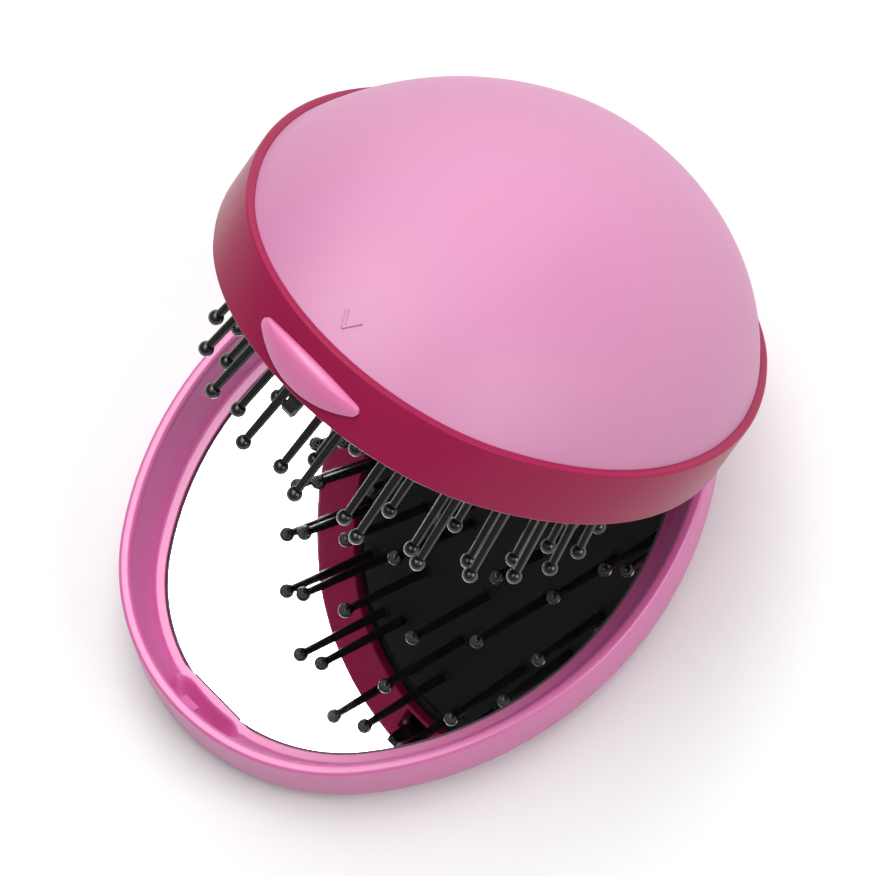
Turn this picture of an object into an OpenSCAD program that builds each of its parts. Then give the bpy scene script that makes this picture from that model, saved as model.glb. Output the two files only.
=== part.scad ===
// Folding hairbrush with a mirror in its lid.
// The lid lies on the ground, the brush half stands open on the hinge at +X.
// Origin: middle of the lid's flat underside. +Z up, hinge axis along Y.

/* [Outline] */
// Half of the length, from the middle to the hinge end
half_length = 42.5; // [39:0.5:48]
// Half of the width
half_width = 34; // [31.5:0.5:38]
// Radius of the round ends
end_radius = 29.6; // [27:0.1:30.4]
// Angle the brush half is opened to
open_angle = 50; // [30:1:90]

/* [Rim band] */
// Height of the crimson band
band_height = 8.6; // [8:0.1:11]
// Thickness of the band's wall
band_wall = 2.2; // [1.8:0.1:2.4]
// Rounding of the band's top edge
band_edge = 1; // [0.5:0.1:1.1]
// Width of the flat ring on the underside
flange_width = 6.5; // [6.4:0.1:7]
// Thickness of that ring
flange_thickness = 1.6; // [1.2:0.1:1.8]

/* [Dome cover] */
// Height of the dome above the band
dome_height = 20.5; // [19.5:0.5:28]
// How full the dome is, 1 meets the band upright
dome_fullness = 0.88; // [0.87:0.01:0.97]
// Width of the band that shows round the dome
dome_ledge = 1.2; // [1.1:0.1:1.6]
// Thickness of the dome's wall
dome_wall = 1.8; // [1.2:0.1:1.9]
// Depth of the dome's edge in the band's rebate
dome_rebate = 1.2; // [0.8:0.1:2]
// Length of the snap skirt inside the band
dome_skirt = 3; // [2:0.5:3.5]
// Thickness of the snap skirt
dome_skirt_wall = 1.2; // [0.8:0.1:1.5]

/* [Cushion] */
// How far the cushion bulges out of the band
cushion_bulge = 3.5; // [2:0.1:3.8]
// Radius of the bulge
cushion_radius = 165; // [150:5:300]
// Thickness of the rubber
cushion_wall = 1.6; // [1:0.1:1.9]
// Distance from the outline to the cushion's edge
cushion_inset = 8.7; // [8.7:0.1:9.4]
// Height of the cushion's rim over the band's underside
cushion_top = 2.6; // [2.6:0.1:2.9]
// Thickness of the plate that closes the cushion
plate_thickness = 1.2; // [0.8:0.1:1.3]
// How far cushion and pins sink when the brush is shut
pad_travel = 11.6; // [11.2:0.1:11.7]
// Thickness of the rubber collar round the cushion
collar_thickness = 1.4; // [1:0.1:1.6]
// Thickness of the clamp ring over the collar
clamp_thickness = 1.4; // [1:0.1:1.6]

/* [Pins] */
// Length of a pin outside the rubber, ball included
pin_length = 16.3; // [12:0.1:16.4]
// Diameter of a pin at its root
pin_root_d = 1.35; // [1.1:0.05:1.6]
// Diameter of a pin under its ball
pin_neck_d = 1.05; // [0.8:0.05:1.1]
// Diameter of the ball tip
pin_ball_d = 2; // [1.6:0.1:2.2]
// Diameter of the foot behind the rubber
pin_foot_d = 2.2; // [1.8:0.1:2.4]
// Thickness of the foot
pin_foot_t = 0.7; // [0.4:0.1:0.8]
// Rows of pins from outside in: share of the outline, number of pins, first pin's turn in steps
pin_rows = [[0.71, 22, 0.5], [0.63, 18, 0], [0.44, 11, 0.5], [0.22, 5, 0.5]];

/* [Lid] */
// Height of the lid
lid_height = 12; // [11.8:0.1:14]
// How far the lid's wall stands inside the band's outline
lid_inset = 1; // [0.8:0.1:1.4]
// Rounding of the lid's lower edge
lid_edge = 4; // [2:0.5:5]
// Width of the lip
lip_width = 1.5; // [1.2:0.1:1.6]
// Depth of the mirror under the lip
mirror_depth = 8.4; // [8.3:0.1:9]
// Distance from the outline to the mirror's edge
mirror_margin = 6.1; // [5.8:0.1:6.8]
// Thickness of the mirror glass
mirror_thickness = 1.8; // [1:0.1:2]
// Thickness of the adhesive pads behind the mirror
tape_thickness = 0.4; // [0.2:0.1:0.8]
// Height of the bezel over the mirror
bezel_height = 0.5; // [0.2:0.1:1]
// Width of the bezel
bezel_width = 1.3; // [0.8:0.1:1.8]

/* [Hinge] */
// Distance of the hinge axis outside the outline
hinge_offset = 2.9; // [2.6:0.1:4]
// Height of the hinge axis over the band's underside
hinge_rise = 2.6; // [2.4:0.1:3.4]
// Width of the whole hinge
hinge_width = 22; // [18:1:28]
// Width of the brush's knuckle in the middle
knuckle_width = 11; // [8:0.5:14]
// Diameter of the knuckles
knuckle_d = 4.2; // [3.6:0.1:4.4]
// Diameter of the steel pin
hinge_pin_d = 1.6; // [1.2:0.1:2]

/* [Latch] */
// Width of the release button
button_width = 17; // [14:0.5:18]
// Height of the button's tips over the band's underside
button_tip_height = 4.4; // [4:0.1:4.8]
// Rise of the button's upper edge over its tips
button_rise = 1.1; // [0.8:0.1:1.4]
// Drop of the button's lower edge under its tips
button_drop = 3.4; // [2.8:0.1:3.6]
// How far the button stands out of the band
button_proud = 1.2; // [0.8:0.1:1.6]
// Travel of the button
button_travel = 1.2; // [1:0.1:1.3]
// Width of the hook inside the band
hook_width = 4.2; // [3.6:0.2:6]
// Width of the hook where it leaves the band
hook_root_width = 2.4; // [2:0.2:3.4]
// Width of the hook at its barb
hook_tip_width = 1.6; // [1.2:0.2:2]
// Length of the hook below the band
hook_reach = 4.6; // [4.4:0.1:5.4]
// Thickness of the hook
hook_thickness = 1; // [0.8:0.1:1.1]
// Overhang of the hook's barb
barb_reach = 0.8; // [0.6:0.1:0.9]
// Outer diameter of the latch spring
spring_d = 2.6; // [2:0.1:2.8]
// Diameter of the spring's wire
spring_wire_d = 0.35; // [0.25:0.05:0.4]

/* [Hidden] */
$fn = 96;

// Clearances
seat_gap = 0.3;          // band over the lid's lip when shut
slide_gap = 0.25;        // round the button and the hook
cushion_gap = 0.85;      // cushion in its collar, room for the splayed pins
fit_gap = 0.1;           // parts that lie in each other
knuckle_gap = 0.3;       // between the knuckles
pin_play = 0.03;         // round the steel hinge pin
overlap = 0.3;           // shapes of one piece that merge

// Outline: four arcs that meet smoothly
side_radius = ((half_length - end_radius) ^ 2 + half_width ^ 2 - end_radius ^ 2)
              / (2 * (half_width - end_radius));
end_centre = half_length - end_radius;
side_centre = side_radius - half_width;
join_angle = atan2(side_centre, end_centre);

// Hinge
hinge_x = half_length + hinge_offset;
brush_z = lid_height + seat_gap;
hinge_z = brush_z + hinge_rise;
knuckle_arm = 1.2;                                  // half thickness of the lid's arms
arm_depth = 5.5;                                    // how far the arms reach down the lid's wall
web_drop = 1.5;                                     // underside of the brush's web below the axis

// Lid, from the table up
mirror_z = lid_height - mirror_depth;
floor_thickness = mirror_z - mirror_thickness - tape_thickness;
bezel_z = mirror_z + bezel_height;
wall_inset = lid_inset + lip_width;
bezel_inset = mirror_margin - bezel_width;
lip_straight = 0.8;                                 // upright part of the inner wall

// Latch, depths are measured from the outline's end at -X
window_grip = 0.8;                                  // rim of the button behind the window
button_back = band_wall + fit_gap + 0.9;            // back of that rim
hook_front = button_back + 0.4;
hook_back = hook_front + hook_thickness;
barb_height = 1.6;
barb_edge = 0.9;                                    // where the barb's slope starts
hook_top = 7.2;
hook_slot_back = hook_back + button_travel + slide_gap;
catch_reach = 1;                                    // overhang of the lid's catch
catch_height = 1.3;
catch_slope = 0.9;
catch_width = 2.4;
catch_top = lid_height - 1.1;
pocket_back = hook_back + 1.1;
boss_wall = 1;                                      // ledge between the pocket and the mirror
pocket_z = floor_thickness + 0.4;
boss_inner_w = 8;
boss_outer_w = 15;
bay_half_width = button_width / 2 + 2;              // room for the button behind the wall

// Cushion, collar and clamp ring
cushion_centre = cushion_radius - cushion_bulge;
rim_width = 1.8;
plate_inset = cushion_inset + 1.2;
collar_z = flange_thickness;
clamp_z = collar_z + collar_thickness;
clamp_top = clamp_z + clamp_thickness;
collar_outer = flange_width - 1;
collar_inner = cushion_inset - cushion_gap;
clamp_inner = cushion_inset - 0.7;
clamp_outer = band_wall + dome_skirt_wall + 0.3;
clamp_slot_back = hook_slot_back + 0.5;             // room for the ends of the pressed button
post_thickness = 0.7;
spring_z = clamp_top + spring_d / 2 + 0.2;
spring_length = clamp_inner - post_thickness - hook_back;
spring_turns = 3;

// Screws of the clamp ring
screw_d = 1.8;
screw_head_d = 3;
screw_head_t = 0.9;
screw_length = 3.2;
screw_boss_r = 1.3;
screw_inset = band_wall + dome_skirt_wall + 0.2 + screw_boss_r;
screw_angles = [32, 90, 148, 212, 270, 328];

// Meshes of the rounded edges and the dome
arc_steps = 24;          // points on each of the outline's four arcs
edge_steps = 6;          // facets across a rounded edge
hairline = 0.03;         // keeps faceted walls just inside exact ones
dome_points = 64;
dome_rings = 11;

// Colours
light_pink = "#e3a3c5";
deep_pink = "#d37aaa";
crimson = "#a31f4c";
black_rubber = "#1e1f1e";
black_nylon = "#2b2b2b";
steel = "#b9bcc0";
mirror_silver = "#dfe6ea";
tape_white = "#eceae4";

// ---- Shared shapes ----

// Flat outline, set in by a distance
module outline(inset = 0) {
    reach = 2 * side_radius / sin(join_angle);
    far = [reach * cos(join_angle), reach * sin(join_angle) - side_centre];
    near = [end_centre * (1 - overlap / side_centre), -overlap];
    for (s = [-1, 1]) {
        translate([s * end_centre, 0]) circle(end_radius - inset);
        intersection() {
            translate([0, -s * side_centre]) circle(side_radius - inset);
            polygon([[near.x, s * near.y], [far.x, s * far.y],
                     [-far.x, s * far.y], [-near.x, s * near.y]]);
        }
    }
}

module slab(inset, low, high) {
    translate([0, 0, low]) linear_extrude(high - low) outline(inset);
}

module ring(outer, inner, low, high) {
    difference() {
        slab(outer, low, high);
        slab(inner, low - 1, high + 1);
    }
}

// Points of the outline, set in by a distance, counter-clockwise from the +X end
function arc_points(centre, radius, from, to, steps) = [for (i = [0 : steps - 1])
    let (a = from + (to - from) * i / steps) centre + radius * [cos(a), sin(a)]];

function outline_points(inset, steps = arc_steps) = concat(
    arc_points([end_centre, 0], end_radius - inset, -join_angle, join_angle, steps),
    arc_points([0, -side_centre], side_radius - inset, join_angle, 180 - join_angle, steps),
    arc_points([-end_centre, 0], end_radius - inset, 180 - join_angle, 180 + join_angle, steps),
    arc_points([0, side_centre], side_radius - inset, 180 + join_angle, 360 - join_angle, steps));

// Solid through rings of the outline, each given as inset and height, from the bottom up
module outline_solid(rows) {
    count = 4 * arc_steps;
    points = [for (row = rows) for (p = outline_points(row[0])) [p.x, p.y, row[1]]];
    faces = concat(
        [[for (i = [0 : count - 1]) i]],
        [for (k = [0 : len(rows) - 2]) for (i = [0 : count - 1])
            let (j = (i + 1) % count, a = k * count, b = a + count) [a + j, a + i, b + i, b + j]],
        [[for (i = [0 : count - 1]) len(rows) * count - 1 - i]]);
    polyhedron(points, faces);
}

// The point of the outline that the middle sees at an angle, set in by a distance
function outline_at(a, inset = 0) = let (
        b = a > 180 ? a - 360 : a,
        q = abs(b) > 90 ? 180 - abs(b) : abs(b),
        limit = atan2(end_radius * sin(join_angle), end_centre + end_radius * cos(join_angle)),
        near_end = q <= limit,
        c = near_end ? [end_centre, 0] : [0, -side_centre],
        r = near_end ? end_radius : side_radius,
        d = [cos(q), sin(q)],
        p = (d * c + sqrt((d * c) ^ 2 - c * c + r * r)) * d,
        w = p - inset * (p - c) / r
    ) [w.x * (abs(b) > 90 ? -1 : 1), w.y * (b < 0 ? -1 : 1)];

module at_outline(a, inset) {
    translate(outline_at(a, inset)) children();
}

// Places the brush half at its open angle; inside, z = 0 is the band's underside
module in_brush() {
    translate([hinge_x, 0, hinge_z])
        rotate([0, open_angle, 0])
            translate([-hinge_x, 0, -hinge_rise]) children();
}

// Box behind the outline's end at -X, by depth
module latch_box(front, back, width, low, high) {
    translate([-half_length + front, -width / 2, low]) cube([back - front, width, high - low]);
}

// ---- Lid half ----

// Plan of the latch boss from the lid's wall to a depth, its sides set out by a distance
module boss_plan(back, out = 0) {
    slope = (boss_outer_w - boss_inner_w) / 2 / (pocket_back + boss_wall - wall_inset);
    wide = boss_outer_w / 2 + out * sqrt(1 + slope ^ 2);
    narrow = wide - slope * (back - wall_inset);
    polygon([[-half_length + wall_inset, -wide], [-half_length + back, -narrow],
             [-half_length + back, narrow], [-half_length + wall_inset, wide]]);
}

// Extrudes a profile drawn in X and Z across Y
module across(width) {
    rotate([90, 0, 0]) linear_extrude(width, center = true) children();
}

module lid_block() {
    slab(lid_inset, lid_edge, lid_height);
    outline_solid(concat(
        [for (a = [0 : 90 / edge_steps : 90])
            [lid_inset + hairline + lid_edge * (1 - sin(a)), lid_edge * (1 - cos(a))]],
        [[lid_inset + hairline, lid_edge + overlap]]));
}

module lid_cavity() {
    lip_z = lid_height - lip_straight;
    slab(wall_inset, lip_z, lid_height + 1);
    slab(mirror_margin, floor_thickness, lid_height);
    outline_solid([[bezel_inset, bezel_z], [wall_inset + hairline, lip_z],
                   [wall_inset + hairline, lip_z + overlap]]);
}

module lid_knuckles() {
    for (s = [-1, 1]) {
        inner_y = knuckle_width / 2 + knuckle_gap;
        width = (hinge_width - knuckle_width) / 2 - knuckle_gap;
        y0 = s > 0 ? inner_y : -inner_y - width;
        translate([hinge_x, y0, hinge_z]) rotate([-90, 0, 0]) cylinder(d = knuckle_d, h = width);
        translate([hinge_x - knuckle_arm, y0, lid_height - arm_depth])
            cube([2 * knuckle_arm, width, hinge_z - lid_height + arm_depth]);
        translate([half_length - wall_inset, y0, lid_height - arm_depth])
            cube([hinge_x - half_length + wall_inset, width, arm_depth - 0.4]);
    }
}

module lid_tray() {
    color(light_pink) difference() {
        union() {
            difference() {
                lid_block();
                lid_cavity();
            }
            intersection() {
                translate([0, 0, floor_thickness - overlap])
                    linear_extrude(bezel_z - floor_thickness + overlap)
                        boss_plan(pocket_back + boss_wall);
                slab(lid_inset + overlap, 0, lid_height);
            }
            lid_knuckles();
        }
        // Pocket that the hook drops into
        translate([0, 0, pocket_z]) linear_extrude(lid_height)
            boss_plan(pocket_back, -boss_wall);
        translate([hinge_x, 0, hinge_z]) rotate([90, 0, 0])
            cylinder(d = hinge_pin_d + 2 * pin_play, h = hinge_width + 2, center = true);
    }
    // Catch that holds the hook's barb, with a slope that pushes the barb aside
    color(light_pink) translate([-half_length, 0, 0]) across(catch_width)
        polygon([[wall_inset - overlap, catch_top - catch_height],
                 [wall_inset + catch_reach, catch_top - catch_height],
                 [wall_inset + catch_reach, catch_top - catch_slope],
                 [wall_inset, catch_top], [wall_inset - overlap, catch_top]]);
}

module mirror_glass() {
    color(mirror_silver) difference() {
        slab(mirror_margin + fit_gap, mirror_z - mirror_thickness, mirror_z);
        translate([0, 0, floor_thickness]) linear_extrude(lid_height)
            boss_plan(pocket_back + boss_wall + fit_gap, fit_gap);
    }
}

module mirror_tape() {
    tape_width = 10;
    tape_spacing = 18;
    color(tape_white) for (i = [-1, 0, 1])
        translate([i * tape_spacing - tape_width / 2, -half_width / 2, floor_thickness])
            cube([tape_width, half_width, tape_thickness]);
}

module hinge_pin() {
    color(steel) translate([hinge_x, 0, hinge_z]) rotate([90, 0, 0])
        cylinder(d = hinge_pin_d, h = hinge_width, center = true);
}

// ---- Brush half ----

// Button outline, drawn across the band and pushed along X between two depths
module button_lens(front, back, grow = 0) {
    half = button_width / 2;
    low_r = (half ^ 2 + button_drop ^ 2) / (2 * button_drop);
    high_r = (half ^ 2 + button_rise ^ 2) / (2 * button_rise);
    translate([-half_length + front, 0, button_tip_height])
        rotate([90, 0, 90])
            linear_extrude(back - front) intersection() {
                translate([0, low_r - button_drop]) circle(low_r + grow);
                translate([0, button_rise - high_r]) circle(high_r + grow);
            }
}

module rim_band() {
    color(crimson) in_brush() difference() {
        union() {
            difference() {
                union() {
                    slab(0, 0, band_height - band_edge);
                    outline_solid(concat(
                        [[hairline, band_height - band_edge - overlap]],
                        [for (a = [0 : 90 / edge_steps : 90])
                            [hairline + band_edge * (1 - cos(a)),
                             band_height - band_edge * (1 - sin(a))]]));
                }
                slab(band_wall, flange_thickness, band_height + 1);
                slab(dome_ledge, band_height - dome_rebate, band_height + 1);
                slab(flange_width, -1, band_height);
            }
            for (a = screw_angles) at_outline(a, screw_inset)
                translate([0, 0, flange_thickness - overlap])
                    cylinder(r = screw_boss_r, h = clamp_z - flange_thickness + overlap);
            // Knuckle and the web that carries it
            translate([hinge_x, 0, hinge_rise]) rotate([90, 0, 0])
                cylinder(d = knuckle_d, h = knuckle_width, center = true);
            translate([half_length - band_wall / 2, -knuckle_width / 2, hinge_rise - web_drop])
                cube([hinge_x - half_length + band_wall / 2, knuckle_width,
                      knuckle_d / 2 + web_drop]);
        }
        for (a = screw_angles) at_outline(a, screw_inset)
            translate([0, 0, clamp_top - screw_length - fit_gap]) cylinder(d = screw_d, h = screw_length);
        button_lens(-5, button_back + button_travel + slide_gap, slide_gap);
        latch_box(hook_front - barb_reach - slide_gap, hook_slot_back, hook_width + 2 * slide_gap,
                  -1, flange_thickness + 1);
        translate([hinge_x, 0, hinge_rise]) rotate([90, 0, 0])
            cylinder(d = hinge_pin_d + 2 * pin_play, h = knuckle_width + 2, center = true);
    }
}

// Solid dome on a base outline, made of rings that shrink towards the top,
// with an upright foot below it
function dome_rise(s, height) = let (edge = sqrt(1 - dome_fullness ^ 2))
    height * (sqrt(1 - (dome_fullness * s) ^ 2) - edge) / (1 - edge);

module dome_solid(inset, height, below) {
    base = outline_points(inset, dome_points / 4);
    rings = concat([[1, -below]],
        [for (k = [0 : dome_rings - 1]) let (s = cos(90 * k / dome_rings)) [s, dome_rise(s, height)]]);
    points = [for (r = rings) for (p = base) [p.x * r[0], p.y * r[0], r[1]], [0, 0, height]];
    last = len(points) - 1;
    faces = concat(
        [[for (i = [0 : dome_points - 1]) i]],
        [for (k = [0 : dome_rings - 1]) for (i = [0 : dome_points - 1])
            let (j = (i + 1) % dome_points, a = k * dome_points, b = a + dome_points)
                [a + j, a + i, b + i, b + j]],
        [for (i = [0 : dome_points - 1])
            let (j = (i + 1) % dome_points, a = dome_rings * dome_points) [a + j, a + i, last]]);
    polyhedron(points, faces);
}

module dome_cover() {
    skirt_inset = band_wall + fit_gap;
    color(light_pink) in_brush() difference() {
        union() {
            translate([0, 0, band_height]) dome_solid(dome_ledge + fit_gap, dome_height, dome_rebate);
            slab(skirt_inset, band_height - dome_skirt, band_height);
        }
        translate([0, 0, band_height])
            dome_solid(skirt_inset + dome_skirt_wall, dome_height - dome_wall, dome_skirt + 1);
        latch_box(0, hook_slot_back, hook_width + 1, 0, hook_top + slide_gap);
        // Room for the button's rim behind the window
        button_lens(0, button_back + button_travel + slide_gap, window_grip + slide_gap);
    }
}

module cushion_collar() {
    color(black_rubber) in_brush() difference() {
        ring(collar_outer, collar_inner, collar_z, clamp_z);
        for (a = screw_angles) at_outline(a, screw_inset)
            translate([0, 0, collar_z - 1]) cylinder(r = screw_boss_r + fit_gap, h = collar_thickness + 2);
        latch_box(0, hook_slot_back, 2 * bay_half_width, 0, band_height);
    }
}

module clamp_ring() {
    color(black_nylon) in_brush() difference() {
        union() {
            ring(clamp_outer, clamp_inner, clamp_z, clamp_top);
            // Post that the latch spring leans on
            latch_box(clamp_inner - post_thickness, clamp_inner, spring_d + 1.4,
                      clamp_z, spring_z + spring_d / 2 + 0.4);
        }
        latch_box(0, clamp_slot_back, 2 * bay_half_width, 0, band_height);
        for (a = screw_angles) at_outline(a, screw_inset)
            translate([0, 0, clamp_z - 1]) cylinder(d = screw_d + 2 * fit_gap, h = clamp_thickness + 2);
    }
}

module clamp_screws() {
    color(steel) in_brush() for (a = screw_angles) at_outline(a, screw_inset) {
        translate([0, 0, clamp_top - screw_length]) cylinder(d = screw_d, h = screw_length + overlap);
        translate([0, 0, clamp_top]) cylinder(d = screw_head_d, h = screw_head_t);
    }
}

// ---- Cushion and pins, which sink into the band together ----

// Lens-shaped solid under a plane: the bulge's sphere, pushed up by a rise
module bulge(rise, top) {
    translate([0, 0, cushion_centre]) rotate_extrude($fn = 180) intersection() {
        circle(cushion_radius - rise, $fn = 1440);
        translate([0, -cushion_radius]) square([half_length, top + cushion_radius - cushion_centre]);
    }
}

// Turns local +Z into a pin's direction and moves to its root on the rubber
module at_pin(p) {
    translate([0, 0, cushion_centre])
        rotate([0, 180 - asin(norm(p) / cushion_radius), atan2(p.y, p.x)])
            translate([0, 0, cushion_radius]) children();
}

// Roots of one row, evenly turned about the middle
function row_points(row) = let (share = pin_rows[row][0], count = pin_rows[row][1])
    [for (i = [0 : count - 1]) let (a = (i + pin_rows[row][2]) * 360 / count) share * outline_at(a)];

module pin() {
    ball_r = pin_ball_d / 2;
    cylinder(d1 = pin_root_d, d2 = pin_neck_d, h = pin_length - ball_r);
    translate([0, 0, pin_length - ball_r]) sphere(ball_r, $fn = 32);
    translate([0, 0, -cushion_wall - fit_gap / 2]) cylinder(d = pin_root_d, h = cushion_wall + fit_gap);
    translate([0, 0, -cushion_wall - pin_foot_t - fit_gap / 2]) cylinder(d = pin_foot_d, h = pin_foot_t);
}

module pin_row(row) {
    color(black_nylon) in_brush() for (p = row_points(row)) at_pin(p) pin();
}

module pins_outer_row() {
    pin_row(0);
}

module pins_second_row() {
    pin_row(1);
}

module pins_third_row() {
    pin_row(2);
}

module pins_centre() {
    pin_row(3);
}

module pin_cushion() {
    color(black_rubber) in_brush() difference() {
        intersection() {
            slab(cushion_inset, -cushion_bulge - 1, cushion_top);
            bulge(0, cushion_top);
        }
        intersection() {
            slab(cushion_inset + rim_width, -cushion_bulge - 1, cushion_top + 2);
            bulge(cushion_wall, cushion_top + 1);
        }
        for (row = [0 : len(pin_rows) - 1]) for (p = row_points(row)) at_pin(p) {
            translate([0, 0, -2 * cushion_wall])
                cylinder(d = pin_root_d + fit_gap, h = 3 * cushion_wall, $fn = 24);
            // The outer row's feet reach into the thick rim
            if (row == 0) translate([0, 0, -2 * cushion_wall])
                cylinder(d = pin_foot_d + 2 * fit_gap, h = cushion_wall, $fn = 24);
        }
    }
}

module cushion_plate() {
    color(black_nylon) in_brush() slab(plate_inset, cushion_top, cushion_top + plate_thickness);
}

// ---- Latch ----

module release_button() {
    color(deep_pink) in_brush() {
        intersection() {
            button_lens(-5, half_length / 2);
            ring(-button_proud, button_back, 0, band_height);
        }
        intersection() {
            button_lens(-5, half_length / 2, window_grip);
            ring(band_wall + fit_gap, button_back, flange_thickness + fit_gap, band_height);
        }
        latch_box(band_wall + fit_gap, hook_front, hook_width, flange_thickness + fit_gap,
                  button_tip_height + button_rise);
    }
}

module latch_hook() {
    barb_front = hook_front - barb_reach;
    taper = [[hook_width / 2, hook_top + 1], [hook_width / 2, flange_thickness],
             [hook_root_width / 2, 0], [hook_tip_width / 2, -hook_reach],
             [hook_tip_width / 2, -hook_reach - 1]];
    color(black_nylon) in_brush() translate([-half_length, 0, 0]) intersection() {
        across(hook_width + 1)
            polygon([[hook_front, hook_top], [hook_front, barb_height - hook_reach],
                     [barb_front, barb_height - hook_reach], [barb_front, barb_edge - hook_reach],
                     [hook_front, -hook_reach], [hook_back, -hook_reach], [hook_back, hook_top]]);
        translate([barb_front - 1, 0, 0]) rotate([90, 0, 90])
            linear_extrude(hook_back - barb_front + 2)
                polygon(concat(taper, [for (i = [len(taper) - 1 : -1 : 0]) [-taper[i].x, taper[i].y]]));
    }
}

// Open coil between the hook's back and the clamp ring's post: a tube of rings on a helix
module latch_spring() {
    steps = 16;
    sides = 10;
    wire_r = spring_wire_d / 2;
    coil_r = spring_d / 2 - wire_r;
    pitch = (spring_length - spring_wire_d) / spring_turns;
    count = steps * spring_turns;
    points = [for (i = [0 : count])
        let (a = 360 * i / steps, out = [cos(a), sin(a), 0],
             along = [-2 * PI * coil_r * sin(a), 2 * PI * coil_r * cos(a), pitch],
             side = cross(along / norm(along), out))
        for (k = [0 : sides - 1]) let (b = 360 * k / sides)
            coil_r * out + [0, 0, pitch * i / steps] + wire_r * (cos(b) * out + sin(b) * side)];
    faces = concat(
        [[for (k = [0 : sides - 1]) sides - 1 - k]],
        [[for (k = [0 : sides - 1]) count * sides + k]],
        [for (i = [0 : count - 1]) for (k = [0 : sides - 1])
            let (a = i * sides, b = a + sides, l = (k + 1) % sides) [a + k, a + l, b + l, b + k]]);
    color(steel) in_brush() translate([-half_length + hook_back + wire_r, 0, spring_z])
        rotate([0, 90, 0]) polyhedron(points, faces);
}

lid_tray();
mirror_glass();
mirror_tape();
hinge_pin();
rim_band();
dome_cover();
cushion_collar();
clamp_ring();
clamp_screws();
pin_cushion();
cushion_plate();
pins_outer_row();
pins_second_row();
pins_third_row();
pins_centre();
release_button();
latch_hook();
latch_spring();
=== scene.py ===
import math

import bmesh
import bpy
from mathutils import Matrix, Vector


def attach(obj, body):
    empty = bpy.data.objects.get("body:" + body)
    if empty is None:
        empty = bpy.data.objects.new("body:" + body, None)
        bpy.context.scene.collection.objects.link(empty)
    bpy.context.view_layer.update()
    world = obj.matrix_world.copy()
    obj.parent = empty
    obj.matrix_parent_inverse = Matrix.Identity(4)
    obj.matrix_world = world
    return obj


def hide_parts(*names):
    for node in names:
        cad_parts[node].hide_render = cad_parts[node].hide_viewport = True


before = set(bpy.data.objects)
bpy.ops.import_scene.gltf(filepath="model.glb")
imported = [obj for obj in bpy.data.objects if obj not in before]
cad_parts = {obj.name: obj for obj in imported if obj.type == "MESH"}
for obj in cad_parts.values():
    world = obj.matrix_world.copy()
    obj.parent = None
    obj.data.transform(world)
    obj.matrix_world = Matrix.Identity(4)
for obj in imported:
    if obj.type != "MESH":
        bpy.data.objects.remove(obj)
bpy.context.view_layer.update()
print("frame loaded")

# Shared sizes in millimetres, as the solids have them
oval = {
    "halfLength": 42.5,    # middle to the hinge end
    "halfWidth": 34.0,
    "endRadius": 29.6,
    "endSteps": 64,        # faces round each end arc
    "sideSteps": 28,       # faces along each side arc
    "core": 18.0,          # inset where plates close with a flat middle
}
hinge = {
    "x": 45.4,             # axis, from the middle
    "lidZ": 14.9,          # axis above the table
    "brushZ": 2.6,         # axis above the band's underside
    "openAngle": 50.0,
    "width": 22.0,
    "knuckleWidth": 11.0,
    "knuckleRadius": 2.1,
    "knuckleEdge": 0.25,   # rounding of the knuckles' rims
    "boreRadius": 0.83,
    "boreSpare": 4.0,      # how much longer the cut is than what it goes through
    "gap": 0.3,
}

endCentre = oval["halfLength"] - oval["endRadius"]
sideRadius = ((endCentre ** 2 + oval["halfWidth"] ** 2 - oval["endRadius"] ** 2)
              / (2 * (oval["halfWidth"] - oval["endRadius"])))
sideCentre = sideRadius - oval["halfWidth"]
joinAngle = math.atan2(sideCentre, endCentre)

onLid = Matrix.Identity(4)
onBrush = (Matrix.Translation((hinge["x"], 0, hinge["lidZ"]))
           @ Matrix.Rotation(math.radians(hinge["openAngle"]), 4, "Y")
           @ Matrix.Translation((-hinge["x"], 0, -hinge["brushZ"])))
roundSteps = 3             # facets across a rounded edge
profileSteps = 6           # facets across a rounding of a swept profile
touch = 0.01               # points nearer than this are taken as level


def ovalPoint(degrees):
    turn = math.radians(degrees)
    side = Vector((abs(math.cos(turn)), abs(math.sin(turn))))
    limit = math.atan2(oval["endRadius"] * math.sin(joinAngle),
                       endCentre + oval["endRadius"] * math.cos(joinAngle))
    nearEnd = math.atan2(side.y, side.x) <= limit
    centre = Vector((endCentre, 0)) if nearEnd else Vector((0, -sideCentre))
    radius = oval["endRadius"] if nearEnd else sideRadius
    along = side.dot(centre)
    reach = along + math.sqrt(along ** 2 - centre.dot(centre) + radius ** 2)
    x, y = math.copysign(side.x, math.cos(turn)), math.copysign(side.y, math.sin(turn))
    return Vector((x, y)) * reach


def vertsIn(made):
    return [v for v in made if isinstance(v, bmesh.types.BMVert)]


def edgesIn(made):
    return [e for e in made if isinstance(e, bmesh.types.BMEdge)]


def edgesOf(bm, verts):
    bm.edges.index_update()
    return sorted({e for v in verts for e in v.link_edges}, key=lambda e: e.index)


def profile(bm, corners, closed=False):
    # corners are (inset from the outline, height, distance where the rounding starts)
    start = Vector((math.cos(-joinAngle), math.sin(-joinAngle), 0))
    verts = [bm.verts.new(Vector((endCentre, 0, z)) + start * (oval["endRadius"] - inset))
             for inset, z, _ in corners]
    for a, b in zip(verts, verts[1:]):
        bm.edges.new((a, b))
    if closed:
        bm.edges.new((verts[-1], verts[0]))
    for vert, (_, _, rounding) in zip(verts, corners):
        if rounding:
            bmesh.ops.bevel(bm, geom=[vert], offset=rounding, offset_type="OFFSET",
                            affect="VERTICES", segments=profileSteps, profile=0.5, material=-1)
    return bm.verts[:] + bm.edges[:]


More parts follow.
